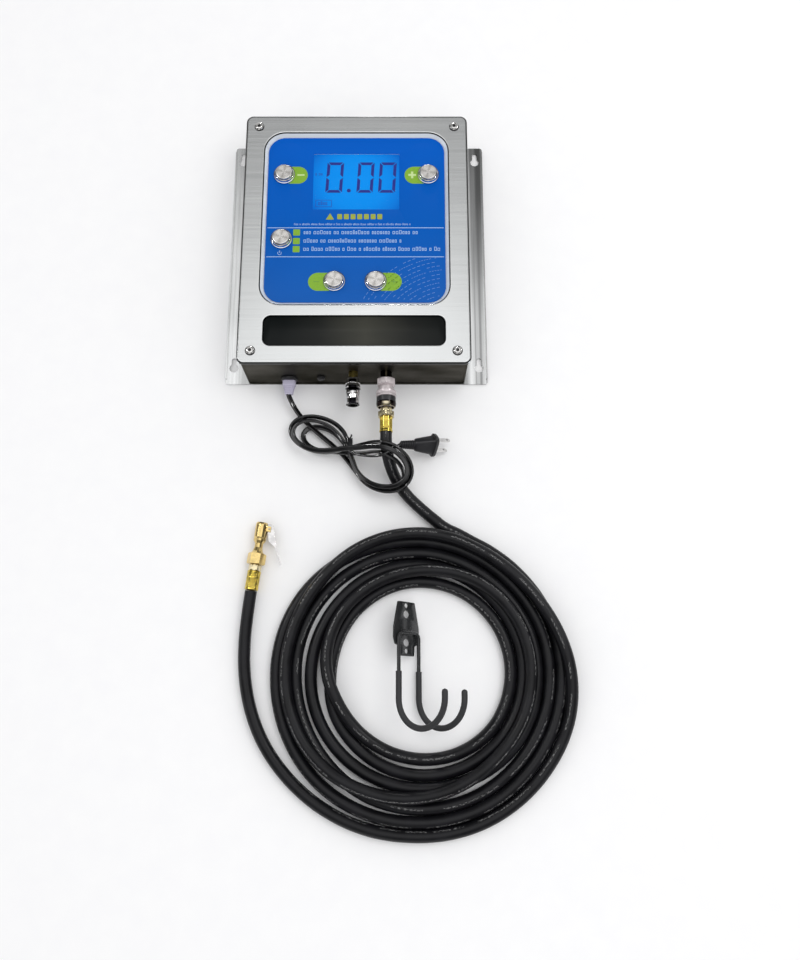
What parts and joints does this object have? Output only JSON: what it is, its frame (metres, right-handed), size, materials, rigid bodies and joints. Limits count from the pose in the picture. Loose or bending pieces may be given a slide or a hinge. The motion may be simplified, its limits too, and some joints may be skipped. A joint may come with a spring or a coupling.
{
  "type": "tyre inflator with gauge",
  "caption": "Wall-mounted digital tyre inflator in a steel case with push buttons, quick-coupled air hose ending in a clip-on chuck, mains lead and hose hook.",
  "frame": {"origin": "centre of the back panel's rear face, the face that goes against the wall", "axes": "+Z out of the unit's front face, +Y towards the unit's top edge, +X to the unit's right seen from the front; stored lying on its back"},
  "size_m": [0.371, 0.7827, 0.0711],
  "materials": {
    "stainless": "brushed and polished stainless sheet",
    "mirror_steel": "mirror polished stainless, dark in reflection",
    "gasket_rubber": "soft black rubber",
    "screw_steel": "bright stainless button-head screws",
    "fascia_label": "blue printed film, satin",
    "display_glass": "clear acrylic",
    "display_backlight": "blue backlit liquid crystal",
    "smoked_acrylic": "gloss smoked acrylic",
    "button_bezel": "polished stainless",
    "button_cap_steel": "concentric brushed stainless",
    "circuit_board": "green solder resist",
    "galvanised_steel": "galvanised sheet",
    "black_plastic": "moulded black plastic",
    "aluminium": "milled aluminium",
    "coil_winding": "varnished copper winding in a moulded jacket",
    "plunger_steel": "ground steel",
    "nickel_plate": "bright nickel plate",
    "satin_sleeve": "satin zinc plate",
    "pale_brass": "nickel-flashed brass, cream toned",
    "brass": "bright yellow brass",
    "hose_rubber": "smooth black rubber with a slight sheen",
    "grey_nylon": "light grey nylon",
    "cord_pvc": "black PVC, semi-gloss",
    "black_paint": "black powder coat",
    "hook_sleeve_rubber": "black dipped vinyl"
  },
  "bodies": {
    "inflator": {"back_panel": "stainless", "front_cover": "stainless", "enclosure_body": "mirror_steel", "cover_gasket": "gasket_rubber", "chuck_gasket": "gasket_rubber", "cover_screw_1": "screw_steel", "cover_screw_2": "screw_steel", "cover_screw_3": "screw_steel", "cover_screw_4": "screw_steel", "fascia_panel": "fascia_label", "display_lens": "display_glass", "display_module": "display_backlight", "lower_window": "smoked_acrylic", "button_housing_minus": "button_bezel", "button_housing_plus": "button_bezel", "button_housing_power": "button_bezel", "button_housing_lower_left": "button_bezel", "button_housing_lower_right": "button_bezel", "main_board": "circuit_board", "power_supply": "galvanised_steel", "buzzer": "black_plastic", "exhaust_silencer": "black_plastic", "cable_gland": "black_plastic", "manifold_block": "aluminium", "inlet_valve_coil": "coil_winding", "exhaust_valve_coil": "coil_winding", "pressure_sensor": "plunger_steel", "inlet_fitting_body": "nickel_plate", "inlet_lock_nut": "nickel_plate", "coupler_body": "nickel_plate", "chuck_pivot": "nickel_plate", "plug_blade_1": "nickel_plate", "plug_blade_2": "nickel_plate", "coupler_plug": "pale_brass", "chuck_adapter": "pale_brass", "hose_ferrule_inlet": "brass", "hose_ferrule_chuck": "brass", "chuck_body": "brass", "hose_lead": "hose_rubber", "hose_coil": "hose_rubber", "hose_tail": "hose_rubber", "strain_relief": "grey_nylon", "mains_cord_lead": "cord_pvc", "mains_cord_hank": "cord_pvc", "mains_cord_tail": "cord_pvc", "cord_tie": "cord_pvc", "plug_body": "cord_pvc"},
    "hose_hook": {"hook_plate": "black_paint", "hook_wire": "black_paint", "hook_sleeve_1": "hook_sleeve_rubber", "hook_sleeve_2": "hook_sleeve_rubber"},
    "minus_button": {"button_cap_minus": "button_cap_steel"},
    "plus_button": {"button_cap_plus": "button_cap_steel"},
    "power_button": {"button_cap_power": "button_cap_steel"},
    "lower_left_button": {"button_cap_lower_left": "button_cap_steel"},
    "lower_right_button": {"button_cap_lower_right": "button_cap_steel"},
    "coupler_collar": {"coupler_sleeve": "satin_sleeve"},
    "chuck_clip": {"chuck_lever": "nickel_plate"},
    "inlet_plunger": {"inlet_valve_plunger": "plunger_steel"},
    "exhaust_plunger": {"exhaust_valve_plunger": "plunger_steel"}
  },
  "joints": [
    {"name": "minus_button_press", "type": "slide", "parent": "inflator", "child": "minus_button", "axis": [0, 0, -1], "range_m": [0, 0.0015], "stiffness_N_per_m": 1000, "springref_m": -0.002},
    {"name": "plus_button_press", "type": "slide", "parent": "inflator", "child": "plus_button", "axis": [0, 0, -1], "range_m": [0, 0.0015], "stiffness_N_per_m": 1000, "springref_m": -0.002},
    {"name": "power_button_press", "type": "slide", "parent": "inflator", "child": "power_button", "axis": [0, 0, -1], "range_m": [0, 0.0015], "stiffness_N_per_m": 1000, "springref_m": -0.002},
    {"name": "lower_left_button_press", "type": "slide", "parent": "inflator", "child": "lower_left_button", "axis": [0, 0, -1], "range_m": [0, 0.0015], "stiffness_N_per_m": 1000, "springref_m": -0.002},
    {"name": "lower_right_button_press", "type": "slide", "parent": "inflator", "child": "lower_right_button", "axis": [0, 0, -1], "range_m": [0, 0.0015], "stiffness_N_per_m": 1000, "springref_m": -0.002},
    {"name": "coupler_collar_pull", "type": "slide", "parent": "inflator", "child": "coupler_collar", "axis": [0, 1, 0], "range_m": [0, 0.004], "stiffness_N_per_m": 1500, "springref_m": -0.003},
    {"name": "chuck_clip_squeeze", "type": "hinge", "parent": "inflator", "child": "chuck_clip", "pos_m": [-0.09045, -0.31749, 0.0088], "axis": [0, 0, -1], "range_deg": [0, 12], "stiffness_Nm_per_rad": 0.08, "springref_deg": -28.65},
    {"name": "inlet_valve_stroke", "type": "slide", "parent": "inflator", "child": "inlet_plunger", "axis": [0, 1, 0], "range_m": [0, 0.0025], "stiffness_N_per_m": 1000, "springref_m": -0.002},
    {"name": "exhaust_valve_stroke", "type": "slide", "parent": "inflator", "child": "exhaust_plunger", "axis": [0, 1, 0], "range_m": [0, 0.0025], "stiffness_N_per_m": 1000, "springref_m": -0.002},
    {"name": "hose_hook_lift", "type": "slide", "parent": "inflator", "child": "hose_hook", "axis": [0, 0, 1], "range_m": [0, 0.2]}
  ]
}
